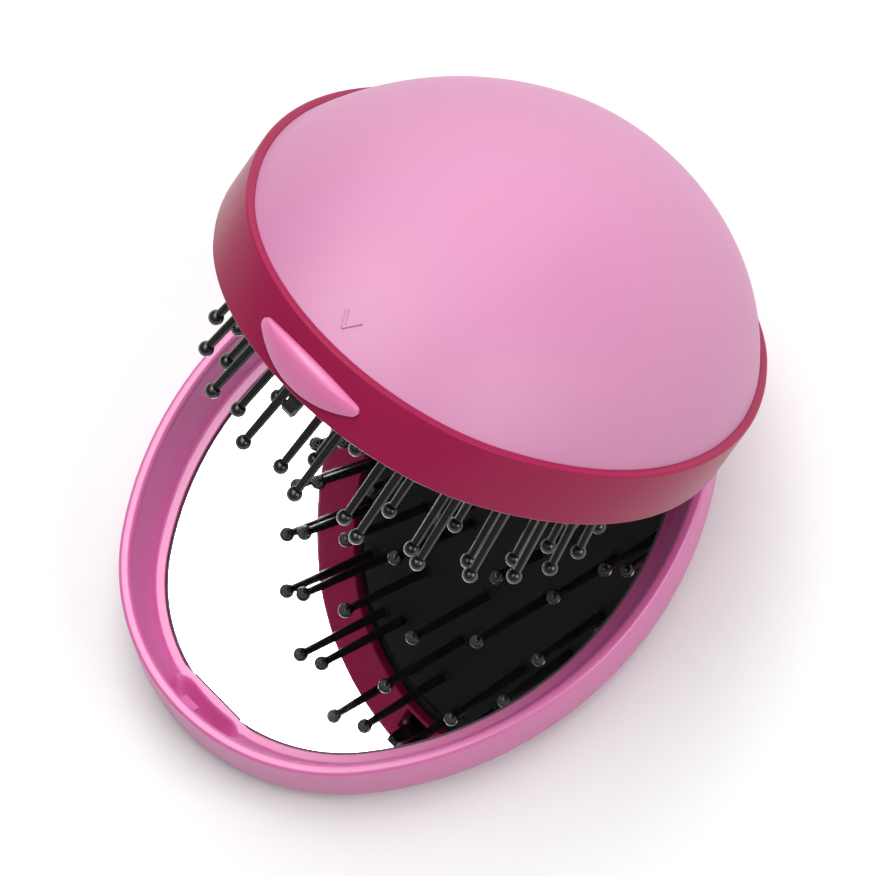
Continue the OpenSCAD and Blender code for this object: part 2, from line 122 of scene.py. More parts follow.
def sweepRoundOval(bm, chain):
    endTurn, sideTurn = 2 * joinAngle, math.pi - 2 * joinAngle
    arcs = (((endCentre, 0, 0), endTurn, oval["endSteps"]),
            ((0, -sideCentre, 0), sideTurn, oval["sideSteps"]),
            ((-endCentre, 0, 0), endTurn, oval["endSteps"]),
            ((0, sideCentre, 0), sideTurn, oval["sideSteps"]))
    for centre, angle, steps in arcs:
        made = bmesh.ops.spin(bm, geom=chain, cent=centre, axis=(0, 0, 1), dvec=(0, 0, 0),
                              angle=angle, steps=steps, use_merge=False, use_duplicate=False)
        chain = made["geom_last"]
    bmesh.ops.remove_doubles(bm, verts=bm.verts[:], dist=0.003)


def ovalLoop(bm, inset, z):
    sweepRoundOval(bm, profile(bm, [(inset, z, 0)]))
    return bm.edges[:]


def nextLoop(bm, edges, scale=1.0, rise=0.0):
    made = bmesh.ops.extrude_edge_only(bm, edges=edges)["geom"]
    bmesh.ops.scale(bm, vec=(scale, scale, 1), verts=vertsIn(made))
    bmesh.ops.translate(bm, vec=(0, 0, rise), verts=vertsIn(made))
    return edgesIn(made)


def closeHoles(bm):
    bmesh.ops.holes_fill(bm, edges=[e for e in bm.edges if e.is_boundary], sides=0)


def closeWithFan(bm, loop):
    fan = bmesh.ops.contextual_create(bm, geom=loop)["faces"]
    bmesh.ops.poke(bm, faces=fan)


def roundEdges(bm, edges, radius, steps=roundSteps):
    bmesh.ops.bevel(bm, geom=edges, offset=radius, affect="EDGES", segments=steps,
                    profile=0.5, material=-1)


def block(bm, low, high, rounding=0.0):
    middle = [(a + b) / 2 for a, b in zip(low, high)]
    size = [b - a for a, b in zip(low, high)]
    made = bmesh.ops.create_cube(bm, size=1.0)["verts"]
    bmesh.ops.scale(bm, vec=size, verts=made)
    bmesh.ops.translate(bm, vec=middle, verts=made)
    if rounding:
        roundEdges(bm, edgesOf(bm, made), rounding)


def rod(bm, centre, radius, length, rounding=0.0):
    # Lies along Y, drawn in an empty mesh
    made = bmesh.ops.create_cone(bm, cap_ends=True, segments=48, radius1=radius, radius2=radius,
                                 depth=length)["verts"]
    if rounding:
        rims = [e for e in edgesOf(bm, made) if abs(e.verts[0].co.z - e.verts[1].co.z) < touch]
        roundEdges(bm, rims, rounding)
    place = Matrix.Translation(centre) @ Matrix.Rotation(math.pi / 2, 4, "X")
    bmesh.ops.transform(bm, matrix=place, verts=bm.verts[:])


def shape(build, *args, **settings):
    bm = bmesh.new()
    build(bm, *args, **settings)
    return bm


def toMesh(bm, name):
    mesh = bpy.data.meshes.new(name)
    bm.to_mesh(mesh)
    bm.free()
    return mesh


def newObject(name, data):
    item = bpy.data.objects.new(name, data)
    bpy.context.collection.objects.link(item)
    return item


def addInto(bm, other):
    mesh = toMesh(other, "work")
    bm.from_mesh(mesh)
    bpy.data.meshes.remove(mesh)


def combine(bm, other, how, keepNormals=False):
    objects = []
    for part in (bm, other):
        if not (keepNormals and part is bm):
            bmesh.ops.recalc_face_normals(part, faces=part.faces[:])
        objects.append(newObject("work", toMesh(part, "work")))
    boolean = objects[0].modifiers.new("work", "BOOLEAN")
    boolean.operation = how
    boolean.solver = "EXACT"
    boolean.object = objects[1]
    result = bmesh.new()
    result.from_object(objects[0], bpy.context.evaluated_depsgraph_get())
    for item in objects:
        mesh = item.data
        bpy.data.objects.remove(item)
        bpy.data.meshes.remove(mesh)
    bmesh.ops.remove_doubles(result, verts=result.verts[:], dist=0.0005)
    return result


def finishPiece(bm, name, place, body, nodes, material, sharpAngle=32.0, recalculate=True):
    if recalculate:
        bmesh.ops.recalc_face_normals(bm, faces=bm.faces[:])
    bmesh.ops.transform(bm, matrix=Matrix.Scale(0.001, 4) @ place, verts=bm.verts[:])   # to metres
    for face in bm.faces:
        face.smooth = True
    mesh = toMesh(bm, name)
    mesh.set_sharp_from_angle(angle=math.radians(sharpAngle))
    mesh.materials.append(material)
    piece = newObject(name, mesh)
    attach(piece, body)
    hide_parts(*nodes)
    print("made", name, len(mesh.polygons), "faces")
    return piece


def linear(hexColour):
    channels = [int(hexColour[i:i + 2], 16) / 255 for i in (1, 3, 5)]
    return [c / 12.92 if c <= 0.04045 else ((c + 0.055) / 1.055) ** 2.4 for c in channels] + [1.0]


def shades(look):
    return {"data_type": "RGBA", 6: linear(look["dark"]), 7: linear(look["light"])}


def sheen(look):
    return {"To Min": look["roughness"][0], "To Max": look["roughness"][1]}


def relief(look):
    return {"Strength": look["bump"], "Distance": look["depth"] / 1000}


def connect(tree, node, links):
    for key, socket in links.items():
        tree.links.new(socket, node.inputs[key])


def addNode(tree, kind, settings=None, links=None):
    node = tree.nodes.new(kind)
    for key, value in (settings or {}).items():
        if isinstance(key, int) or key in node.inputs:
            node.inputs[key].default_value = value
        else:
            setattr(node, key, value)
    connect(tree, node, links or {})
    return node


def newMaterial(name, settings):
    material = bpy.data.materials.new(name)
    material.use_nodes = True
    tree = material.node_tree
    tree.nodes.clear()
    shader = addNode(tree, "ShaderNodeBsdfPrincipled", settings)
    addNode(tree, "ShaderNodeOutputMaterial", links={"Surface": shader.outputs["BSDF"]})
    place = addNode(tree, "ShaderNodeTexCoord").outputs["Object"]
    return material, tree, shader, place


def mouldedPlastic(name, look):
    # Injection-moulded ABS: an even colour with a trace of flow shading, and the fine
    # spark-eroded skin of the mould, which breaks the gloss into a soft satin
    material, tree, shader, place = newMaterial(name, {
        "IOR": 1.53, "Specular IOR Level": look["shine"],
        "Coat Weight": look["polish"], "Coat Roughness": 0.12})
    flow = addNode(tree, "ShaderNodeTexNoise", {"Scale": 1000 / look["flow"], "Detail": 2.0},
                   {"Vector": place})
    grain = addNode(tree, "ShaderNodeTexNoise",
                    {"Scale": 1000 / look["grain"], "Detail": 3.0, "Roughness": 0.6},
                    {"Vector": place})
    colour = addNode(tree, "ShaderNodeMix", shades(look), {"Factor": flow.outputs["Fac"]})
    gloss = addNode(tree, "ShaderNodeMapRange", sheen(look), {"Value": grain.outputs["Fac"]})
    skin = addNode(tree, "ShaderNodeBump", relief(look), {"Height": grain.outputs["Fac"]})
    connect(tree, shader, {"Base Color": colour.outputs[2], "Roughness": gloss.outputs["Result"],
                           "Normal": skin.outputs["Normal"]})
    return material


def softRubber(name, look):
    # Black silicone rubber: nearly matt, with the dusty bloom that dulls its high spots
    material, tree, shader, place = newMaterial(name, {"IOR": 1.45, "Specular IOR Level": 0.18})
    bloom = addNode(tree, "ShaderNodeTexNoise",
                    {"Scale": 1000 / look["bloom"], "Detail": 4.0, "Roughness": 0.65},
                    {"Vector": place})
    grain = addNode(tree, "ShaderNodeTexNoise", {"Scale": 1000 / look["grain"], "Detail": 2.0},
                    {"Vector": place})
    colour = addNode(tree, "ShaderNodeMix", shades(look), {"Factor": bloom.outputs["Fac"]})
    gloss = addNode(tree, "ShaderNodeMapRange", sheen(look), {"Value": bloom.outputs["Fac"]})
    skin = addNode(tree, "ShaderNodeBump", relief(look), {"Height": grain.outputs["Fac"]})
    connect(tree, shader, {"Base Color": colour.outputs[2], "Roughness": gloss.outputs["Result"],
                           "Normal": skin.outputs["Normal"]})
    return material


def nylon(name, look):
    # Moulded black nylon: a smooth, slightly waxy gloss
    material, tree, shader, place = newMaterial(name, {"IOR": 1.53})
    waves = addNode(tree, "ShaderNodeTexNoise", {"Scale": 1000 / look["waves"], "Detail": 2.0},
                    {"Vector": place})
    colour = addNode(tree, "ShaderNodeMix", shades(look), {"Factor": waves.outputs["Fac"]})
    gloss = addNode(tree, "ShaderNodeMapRange", sheen(look), {"Value": waves.outputs["Fac"]})
    connect(tree, shader, {"Base Color": colour.outputs[2], "Roughness": gloss.outputs["Result"]})
    return material


def drawnSteel(name, look):
    # Drawn steel wire: fine lines along the draw and a soft grey shine
    material, tree, shader, place = newMaterial(name, {"Metallic": 1.0})
    stretch = addNode(tree, "ShaderNodeMapping", {"Scale": (8.0, 0.6, 8.0)}, {"Vector": place})
    lines = addNode(tree, "ShaderNodeTexNoise", {"Scale": 1000 / look["lines"], "Detail": 3.0},
                    {"Vector": stretch.outputs["Vector"]})
    colour = addNode(tree, "ShaderNodeMix", shades(look), {"Factor": lines.outputs["Fac"]})
    gloss = addNode(tree, "ShaderNodeMapRange", sheen(look), {"Value": lines.outputs["Fac"]})
    connect(tree, shader, {"Base Color": colour.outputs[2], "Roughness": gloss.outputs["Result"]})
    return material


def silveredGlass(name, look):
    # Float glass silvered at the back: a clean reflection with a faint cool tint, and a ground rim
    # without silver, whose dark grey colour also paints in the shadow of the gap beside the ledge
    # as a thin dark line
    material, tree, shader, place = newMaterial(name, {"IOR": 1.52})
    haze = addNode(tree, "ShaderNodeTexNoise", {"Scale": 1000 / look["haze"], "Detail": 3.0},
                   {"Vector": place})
    tint = addNode(tree, "ShaderNodeMix", shades(look), {"Factor": haze.outputs["Fac"]})
    wipe = addNode(tree, "ShaderNodeMapRange", {"From Min": 0.4, "From Max": 0.8, **sheen(look)},
                   {"Value": haze.outputs["Fac"]})
    facing = addNode(tree, "ShaderNodeSeparateXYZ",
                     links={0: addNode(tree, "ShaderNodeTexCoord").outputs["Normal"]})
    silver = addNode(tree, "ShaderNodeMath", {"operation": "GREATER_THAN", 1: 0.95},
                     {0: facing.outputs["Z"]})
    # painted shade: faces that do not face up get the dark grey rim colour, standing in for the
    # shadow at the glass's edge
    colour = addNode(tree, "ShaderNodeMix", {"data_type": "RGBA", 6: linear(look["rim"])},
                     {"Factor": silver.outputs[0], 7: tint.outputs[2]})
    gloss = addNode(tree, "ShaderNodeMix", {2: look["rimRoughness"]},
                    {"Factor": silver.outputs[0], 3: wipe.outputs["Result"]})
    connect(tree, shader, {"Base Color": colour.outputs[2], "Metallic": silver.outputs[0],
                           "Roughness": gloss.outputs[0]})
    return material


def foamTape(name, look):
    # White foam mounting tape: matt, with small open cells
    material, tree, shader, place = newMaterial(name, {"Roughness": 0.9})
    cells = addNode(tree, "ShaderNodeTexVoronoi", {"Scale": 1000 / look["cells"]},
                    {"Vector": place})
    colour = addNode(tree, "ShaderNodeMix", shades(look), {"Factor": cells.outputs["Distance"]})
    skin = addNode(tree, "ShaderNodeBump", relief(look), {"Height": cells.outputs["Distance"]})
    connect(tree, shader, {"Base Color": colour.outputs[2], "Normal": skin.outputs["Normal"]})
    return material


# Colours as seen on screen, sizes of the patterns in millimetres
finishes = {
    "domePink": mouldedPlastic("abs_satin_light_pink", {
        "light": "#AA6C8F", "dark": "#A5678A", "roughness": (0.46, 0.54), "shine": 0.6,
        "polish": 0.0, "flow": 30.0, "grain": 0.12, "bump": 0.04, "depth": 0.02}),
    "lidPink": mouldedPlastic("abs_gloss_pink", {
        "light": "#C05092", "dark": "#B9498A", "roughness": (0.4, 0.48), "shine": 1.0,
        "polish": 0.25, "flow": 26.0, "grain": 0.12, "bump": 0.02, "depth": 0.02}),
    "buttonPink": mouldedPlastic("abs_gloss_pink_button", {
        "light": "#C66C99", "dark": "#C06693", "roughness": (0.21, 0.29), "shine": 0.45,
        "polish": 0.0, "flow": 9.0, "grain": 0.12, "bump": 0.02, "depth": 0.02}),
    "crimson": mouldedPlastic("abs_satin_crimson", {
        "light": "#881940", "dark": "#80153B", "roughness": (0.26, 0.34), "shine": 0.1,
        "polish": 0.0, "flow": 22.0, "grain": 0.12, "bump": 0.03, "depth": 0.02}),
    "rubber": softRubber("silicone_rubber_black", {
        "light": "#121212", "dark": "#0A0A0A", "roughness": (0.42, 0.62),
        "bloom": 3.0, "grain": 0.25, "bump": 0.25, "depth": 0.03}),
    "nylon": nylon("nylon_moulded_black", {
        "light": "#171717", "dark": "#0D0D0D", "roughness": (0.14, 0.24), "waves": 1.2}),
    "steel": drawnSteel("steel_drawn", {
        "light": "#C8CACC", "dark": "#A4A7AA", "roughness": (0.2, 0.42), "lines": 0.8}),
    # the mirror's rim colour is painted shade for the gap at the glass's edge, on an unsilvered
    # ground edge
    "mirror": silveredGlass("glass_silvered", {
        "light": "#F4F7F8", "dark": "#EDF2F4", "roughness": (0.01, 0.03), "haze": 14.0,
        "rim": "#6A6466", "rimRoughness": 0.25}),
    "tape": foamTape("foam_tape_white", {
        "light": "#EDEBE4", "dark": "#D8D5CC", "cells": 0.5, "bump": 0.4, "depth": 0.1}),
}
print("finishes made")

# Lid half
lid = {
    "height": 12.0,
    "inset": 1.0,          # wall inside the band's outline
    "lip": 1.5,
    "lipStraight": 0.8,
    "edge": 4.0,           # rounding of the lower edge
    "floor": 1.4,
    "bezelZ": 4.1,
    "bezelInset": 4.8,
    "mirrorInset": 6.1,
    "lipOuterRound": 0.5,  # roundings of the lip and of the ledge beside the mirror
    "lipInnerRound": 0.45,
    "lipUnderRound": 0.3,
    "bezelRound": 0.3,
    "seatRound": 0.12,
    "wallSteps": 14,       # rows down the inner wall
    "pocketReach": 15.0,   # keeps the pocket on the end arc
    "pocketBack": 5.7,     # depth of the latch pocket from the outline's end
    "pocketLean": 0.5,     # how far the funnel's lower curve leans in
    "pocketPull": 0.45,    # height that the funnel's curve is drawn towards
    "pocketHalf": 3.4,     # half width of the pocket's straight part
    "pocketFade": 3.6,     # length over which its ends run out
    "rimWidth": 0.3,       # rounded edge of the ledge beside the mirror
    "rimBack": 6.7,        # straight part of that edge, from the outline's end
    "catchFront": 2.2,     # catch under the lip, from the outline's end
    "catchBack": 3.5,
    "catchHalf": 1.2,
    "catchLow": 9.6,
    "catchHigh": 10.9,
    "catchSlope": 0.9,     # drop of the slope that pushes the hook aside
    "armHalf": 1.2,        # arms of the outer knuckles
    "armLow": 6.5,
    "armNarrow": 0.05,     # how far its sides stand in from the knuckle's
    "armRound": 0.3,
    "footIn": 2.3,         # foot of an arm, into the wall
    "footOut": 0.9,
    "footLow": 6.6,
    "footHigh": 11.6,
    "footNarrow": 0.1,
    "footRound": 0.4,
}


def lidShell(bm):
    wall = lid["inset"] + lid["lip"]
    lipZ = lid["height"] - lid["lipStraight"]
    rows = [k / lid["wallSteps"] for k in range(1, lid["wallSteps"])]
    slope = [(wall + (lid["bezelInset"] - wall) * t, lipZ + (lid["bezelZ"] - lipZ) * t, 0)
             for t in rows]
    sweepRoundOval(bm, profile(bm, [
        (oval["core"], 0, 0),
        (lid["inset"], 0, lid["edge"]),
        (lid["inset"], lid["height"], lid["lipOuterRound"]),
        (wall, lid["height"], lid["lipInnerRound"]),
        (wall, lipZ, lid["lipUnderRound"]),
        *slope,
        (lid["bezelInset"], lid["bezelZ"], lid["bezelRound"]),
        (lid["mirrorInset"], lid["bezelZ"], lid["seatRound"]),
        (lid["mirrorInset"], lid["floor"], 0),
        (oval["core"], lid["floor"], 0)]))
    latchPocket(bm, wall, lipZ)
    closeHoles(bm)


def latchPocket(bm, wall, lipZ):
    # The inner wall dips behind the ledge, so that each row of the wall lies on a smooth funnel
    for v in bm.verts:
        out = Vector((-v.co.x - endCentre, v.co.y))
        inset = oval["endRadius"] - out.length
        if out.x < lid["pocketReach"] or inset < wall - touch:
            continue
        if inset > lid["mirrorInset"] - lid["rimWidth"]:
            if inset < lid["mirrorInset"] + touch:
                edge = oval["halfLength"] - lid["rimBack"] + inset - lid["mirrorInset"]
                v.co.x = max(v.co.x, -edge)
            continue
        fade = min(1.0, max(0.0, (abs(v.co.y) - lid["pocketHalf"]) / lid["pocketFade"]))
        weight = 1 - fade * fade * (3 - 2 * fade)
        t = min(1.0, max(0.0, (lipZ - v.co.z) / (lipZ - lid["bezelZ"])))
        parts = ((1 - t) ** 3, 3 * (1 - t) ** 2 * t, 3 * (1 - t) * t ** 2, t ** 3)
        deep = ((parts[0] + parts[1]) * wall + parts[2] * (wall + lid["pocketLean"])
                + parts[3] * lid["pocketBack"])
        low = parts[0] * lipZ + (parts[1] + parts[2]) * lid["pocketPull"] + parts[3] * lid["bezelZ"]
        inwards = weight * (deep - (wall + (lid["bezelInset"] - wall) * t))
        v.co.x += inwards * out.x / out.length
        v.co.y -= inwards * out.y / out.length
        v.co.z += weight * (low - (lipZ + (lid["bezelZ"] - lipZ) * t))


def lidHinge(bm):
    width = (hinge["width"] - hinge["knuckleWidth"]) / 2 - hinge["gap"]
    for side in (-1, 1):
        middle = side * (hinge["knuckleWidth"] / 2 + hinge["gap"] + width / 2)
        near, far = middle - width / 2, middle + width / 2
        part = shape(rod, (hinge["x"], middle, hinge["lidZ"]), hinge["knuckleRadius"], width,
                     rounding=hinge["knuckleEdge"])
        arm = shape(block, (hinge["x"] - lid["armHalf"], near + lid["armNarrow"], lid["armLow"]),
                    (hinge["x"] + lid["armHalf"], far - lid["armNarrow"], hinge["lidZ"]),
                    lid["armRound"])
        foot = shape(block,
                     (oval["halfLength"] - lid["footIn"], near + lid["footNarrow"], lid["footLow"]),
                     (hinge["x"] + lid["footOut"], far - lid["footNarrow"], lid["footHigh"]),
                     lid["footRound"])
        addInto(bm, combine(combine(part, arm, "UNION"), foot, "UNION"))


def lidCatch(bm):
    front, back = lid["catchFront"] - oval["halfLength"], lid["catchBack"] - oval["halfLength"]
    block(bm, (front, -lid["catchHalf"], lid["catchLow"]),
          (back, lid["catchHalf"], lid["catchHigh"]))
    for v in bm.verts:
        if v.co.x > back - touch and v.co.z > lid["catchHigh"] - touch:
            v.co.z -= lid["catchSlope"]


lidBm = combine(shape(lidShell), shape(lidHinge), "UNION")
lidBore = shape(rod, (hinge["x"], 0, hinge["lidZ"]), hinge["boreRadius"],
                hinge["width"] + hinge["boreSpare"])
lidBm = combine(lidBm, lidBore, "DIFFERENCE")
lidBm = combine(lidBm, shape(lidCatch), "UNION")
finishPiece(lidBm, "lidShell", onLid, "lid", ["lid_tray"], finishes["lidPink"])

# Mirror glass
glass = {
    "inset": 6.2,
    "bottom": 1.8,
    "top": 3.6,
    "rim": 0.3,            # width of the ground edge
    "notchBack": 6.8,      # room for the latch pocket, from the outline's end
    "notchHalf": 4.05,     # half width of that room at its back
    "notchSlope": 0.833,   # how fast it widens towards the end
    "notchDepth": 5.0,
}


def glassPlate(bm):
    sweepRoundOval(bm, profile(bm, [
        (oval["core"], glass["bottom"], 0),
        (glass["inset"], glass["bottom"], 0),
        (glass["inset"], glass["top"], 0),
        (oval["core"], glass["top"], 0)]))
    closeHoles(bm)


def glassNotch(bm):
    back = -oval["halfLength"] + glass["notchBack"]
    front = back - glass["notchDepth"]
    half = glass["notchHalf"] + glass["notchDepth"] * glass["notchSlope"]
    plan = ((front, -half), (back, -glass["notchHalf"]), (back, glass["notchHalf"]), (front, half))
    bm.faces.new([bm.verts.new((x, y, 0)) for x, y in plan])
    made = bmesh.ops.extrude_face_region(bm, geom=bm.faces[:])["geom"]
    bmesh.ops.translate(bm, vec=(0, 0, 2 * glass["top"]), verts=vertsIn(made))


def isRim(edge):
    level = all(abs(v.co.z - glass["top"]) < touch for v in edge.verts)
    return level and any(abs(f.normal.z) < 0.5 for f in edge.link_faces)


glassBm = combine(shape(glassPlate), shape(glassNotch), "DIFFERENCE")
glassBm.normal_update()
roundEdges(glassBm, [e for e in glassBm.edges if isRim(e)], glass["rim"], 1)
finishPiece(glassBm, "mirrorGlass", onLid, "lid", ["mirror_glass"], finishes["mirror"], 20.0)

# Crimson rim band
band = {
    "height": 8.6,
    "wall": 2.2,
    "ledge": 1.2,
    "rebate": 1.2,
    "flange": 6.5,
    "flangeThickness": 1.6,
    "lip": 0.35,           # rounding of the top edge
    "foot": 0.45,          # rounding of the lower edge
    "ledgeRound": 0.12,
    "cornerRound": 0.3,    # between the wall and the flange
    "flangeTopRound": 0.15,
    "flangeFootRound": 0.3,
    "slotFront": 2.6,      # slot for the hook, from the outline's end
    "slotBack": 6.05,
    "slotHalf": 2.35,
    "slotLow": -1.0,
    "slotHigh": 2.6,
    "tabIn": 1.3,          # tab between the wall and the middle knuckle
    "tabHalf": 5.45,
    "tabLow": 1.1,
    "tabHigh": 4.68,
    "tabRound": 0.3,
}
button = {
    "width": 17.0,
    "tipZ": 4.1,
    "rise": 1.7,
    "drop": 3.2,
    "tipRounding": 0.9,
    "ridge": 0.35,         # height of its crest above the tips
    "proud": 1.2,          # at the crest
    "edgeProud": 0.3,      # at its rim
    "back": 3.2,
    "gap": 0.08,
    "windowFront": -4.0,   # its window in the band, from the outline's end
    "windowBack": 5.3,     # leaves room for the pressed button
    "arcSteps": 36,
    "tipSteps": 8,
    "rings": 16,
    "pole": 0.5,           # share of a ring that the cap at the crest takes
}


def lensOutline(bm, grow, x):
    # Two long arcs joined by small ones round the tips, each drawn by spinning one vertex
    tip = button["tipRounding"]
    half = button["width"] / 2 - tip
    rise, drop = button["rise"] - tip, button["drop"] - tip
    upper, lower = (half ** 2 + rise ** 2) / (2 * rise), (half ** 2 + drop ** 2) / (2 * drop)
    a, b = math.asin(half / upper), math.asin(half / lower)
    level, long, short = button["tipZ"], button["arcSteps"], button["tipSteps"]
    arcs = ((0, level + rise - upper, upper, -a, 2 * a, long),
            (half, level, 0, a, math.pi - a - b, short),
            (0, level - drop + lower, lower, math.pi - b, 2 * b, long),
            (-half, level, 0, math.pi + b, math.pi - a - b, short))
    for y, z, radius, start, sweep, steps in arcs:
        reach = radius + tip + grow
        vert = bm.verts.new((x, y + reach * math.sin(start), z + reach * math.cos(start)))
        bmesh.ops.spin(bm, geom=[vert], cent=(x, y, z), axis=(1, 0, 0), dvec=(0, 0, 0),
                       angle=-sweep, steps=steps, use_merge=False, use_duplicate=False)
    bmesh.ops.remove_doubles(bm, verts=bm.verts[:], dist=0.004)


def lensPrism(bm, grow, front, back):
    lensOutline(bm, grow, -oval["halfLength"] + front)
    bmesh.ops.contextual_create(bm, geom=bm.edges[:])
    made = bmesh.ops.extrude_face_region(bm, geom=bm.faces[:])["geom"]
    bmesh.ops.translate(bm, vec=(back - front, 0, 0), verts=vertsIn(made))
    bmesh.ops.recalc_face_normals(bm, faces=bm.faces[:])


def bandRing(bm):
    ledgeZ = band["height"] - band["rebate"]
    sweepRoundOval(bm, profile(bm, [
        (0, 0, band["foot"]),
        (0, band["height"], band["lip"]),
        (band["ledge"], band["height"], band["ledgeRound"]),
        (band["ledge"], ledgeZ, 0),
        (band["wall"], ledgeZ, 0),
        (band["wall"], band["flangeThickness"], band["cornerRound"]),
        (band["flange"], band["flangeThickness"], band["flangeTopRound"]),
        (band["flange"], 0, band["flangeFootRound"])], closed=True))


def hookSlot(bm):
    end = -oval["halfLength"]
    block(bm, (end + band["slotFront"], -band["slotHalf"], band["slotLow"]),
          (end + band["slotBack"], band["slotHalf"], band["slotHigh"]))


def bandTab(bm):
    block(bm, (oval["halfLength"] - band["tabIn"], -band["tabHalf"], band["tabLow"]),
          (hinge["x"], band["tabHalf"], band["tabHigh"]), band["tabRound"])


bandAxis = (hinge["x"], 0, hinge["brushZ"])
window = shape(lensPrism, button["gap"], button["windowFront"], button["windowBack"])
bandBm = combine(shape(bandRing), window, "DIFFERENCE")
bandBm = combine(bandBm, shape(hookSlot), "DIFFERENCE")
knuckle = shape(rod, bandAxis, hinge["knuckleRadius"], hinge["knuckleWidth"],
                rounding=hinge["knuckleEdge"])
bandBm = combine(bandBm, combine(knuckle, shape(bandTab), "UNION"), "UNION")
bandBore = shape(rod, bandAxis, hinge["boreRadius"], hinge["knuckleWidth"] + hinge["boreSpare"])
bandBm = combine(bandBm, bandBore, "DIFFERENCE")
finishPiece(bandBm, "rimBand", onBrush, "brush", ["rim_band"], finishes["crimson"])

# Dome cover
dome = {
    "height": 20.5,
    "fullness": 0.88,      # 1 would meet the band upright
    "inset": 1.22,
    "wall": 1.8,
    "rebate": 1.1,
    "rings": 44,
    "pole": 0.35,          # share of a ring that the cap at the top takes
    "arrowX": -40.0,       # point of the raised arrow, towards the button
    "arrowLength": 1.25,
    "arrowHalfWidth": 1.3,
    "arrowStroke": 0.34,
    "arrowHeight": 0.22,
    "arrowEdge": 0.08,
    "arrowLap": 0.1,       # overlap of its two arms at the point
    "slopeStep": 0.3,      # the dome's slope is read this far to either side
}


def domeRise(s):
    edge = math.sqrt(1 - dome["fullness"] ** 2)
    return dome["height"] * (math.sqrt(1 - (dome["fullness"] * s) ** 2) - edge) / (1 - edge)


def domeShell(bm):
    loop = ovalLoop(bm, dome["inset"], band["height"] - dome["rebate"])
    loop = nextLoop(bm, loop, 1.0, dome["rebate"])
    share, height = 1.0, 0.0
    for k in range(1, dome["rings"] + 1):
        s = math.cos(math.pi / 2 * k / (dome["rings"] + dome["pole"]))
        loop = nextLoop(bm, loop, s / share, domeRise(s) - height)
        share, height = s, domeRise(s)
    closeWithFan(bm, loop)
    bmesh.ops.recalc_face_normals(bm, faces=bm.faces[:])


def onDome(x, y):
    reach = ovalPoint(math.degrees(math.atan2(y, x))).length - dome["inset"]
    return Vector((x, y, band["height"] + domeRise(math.hypot(x, y) / reach)))


def arrowArm(bm, side):
    a = onDome(dome["arrowX"] - dome["arrowLap"], -dome["arrowLap"] * side)
    b = onDome(dome["arrowX"] + dome["arrowLength"], dome["arrowHalfWidth"] * side)
    middle = (a + b) / 2
    along = (b - a).normalized()
    step = dome["slopeStep"]
    slope = onDome(middle.x + step, middle.y) - onDome(middle.x - step, middle.y)
    up = slope.cross(Vector((0, 1, 0))).normalized()
    across = up.cross(along).normalized()
    place = Matrix((along, across, along.cross(across))).transposed().to_4x4()
    place.translation = onDome(middle.x, middle.y)
    size = ((b - a).length, dome["arrowStroke"], 2 * dome["arrowHeight"])
    made = bmesh.ops.create_cube(bm, size=1.0, matrix=place @ Matrix.Diagonal((*size, 1)))["verts"]
    roundEdges(bm, edgesOf(bm, made), dome["arrowEdge"])


domeBm = shape(domeShell)
bmesh.ops.solidify(domeBm, geom=domeBm.faces[:], thickness=dome["wall"])
for side in (-1, 1):
    domeBm = combine(domeBm, shape(arrowArm, side), "UNION", keepNormals=True)
finishPiece(domeBm, "domeCover", onBrush, "brush", ["dome_cover"], finishes["domePink"], 40.0,
            recalculate=False)


# Release button, drawn as a flat lens one unit thick and then bent round the band's end
def buttonBody(bm):
    lensOutline(bm, 0.0, 0.0)
    crest = Matrix.Translation((0, 0, -button["tipZ"] - button["ridge"]))
    made = bmesh.ops.extrude_edge_only(bm, edges=bm.edges[:])["geom"]
    loop = edgesIn(made)
    for v in vertsIn(made):
        v.co.x -= 1.0
    share = 1.0
    for k in range(1, button["rings"] + 1):
        s = math.cos(math.pi / 2 * k / (button["rings"] + button["pole"]))
        made = bmesh.ops.extrude_edge_only(bm, edges=loop)["geom"]
        loop = edgesIn(made)
        bmesh.ops.scale(bm, vec=(1, s / share, s / share), verts=vertsIn(made), space=crest)
        share = s
        for v in vertsIn(made):
            v.co.x = -1.0 - math.sqrt(1 - s * s)
    closeWithFan(bm, loop)
    for v in bm.verts:
        swell = max(0.0, -v.co.x - 1.0)
        wall = endCentre + math.sqrt(max(0.0, oval["endRadius"] ** 2 - v.co.y ** 2))
        proud = button["edgeProud"] + (button["proud"] - button["edgeProud"]) * swell
        v.co.x = -wall - proud if v.co.x < -0.5 else -wall + button["back"]
    closeHoles(bm)


finishPiece(shape(buttonBody), "releaseButton", onBrush, "latch", ["release_button"],
            finishes["buttonPink"], 50.0)

# Pin cushion
cushion = {
    "inset": 8.7,
    "bulge": 3.5,
    "radius": 165.0,
    "wall": 1.6,
    "top": 2.6,
    "rings": 22,
    "edgeRings": 2,
    "edgeShare": 0.03,     # width of each ring at the edge
    "pole": 0.01,          # share of the outline that the cap in the middle takes
    "rollWidth": 1.6,      # rolled rim
    "rollHeight": 0.9,
    "rollCurve": 2.2,
    "socketRadius": 1.35,
    "socketTaper": 0.45,
    "socketHeight": 0.35,
    "socketSink": 0.1,
    "socketSides": 20,
    # share of the outline, number of pins, first pin's turn in steps
    "rows": ((0.71, 22, 0.5), (0.63, 18, 0.0), (0.44, 11, 0.5), (0.22, 5, 0.5)),
}
cushionCentre = cushion["radius"] - cushion["bulge"]


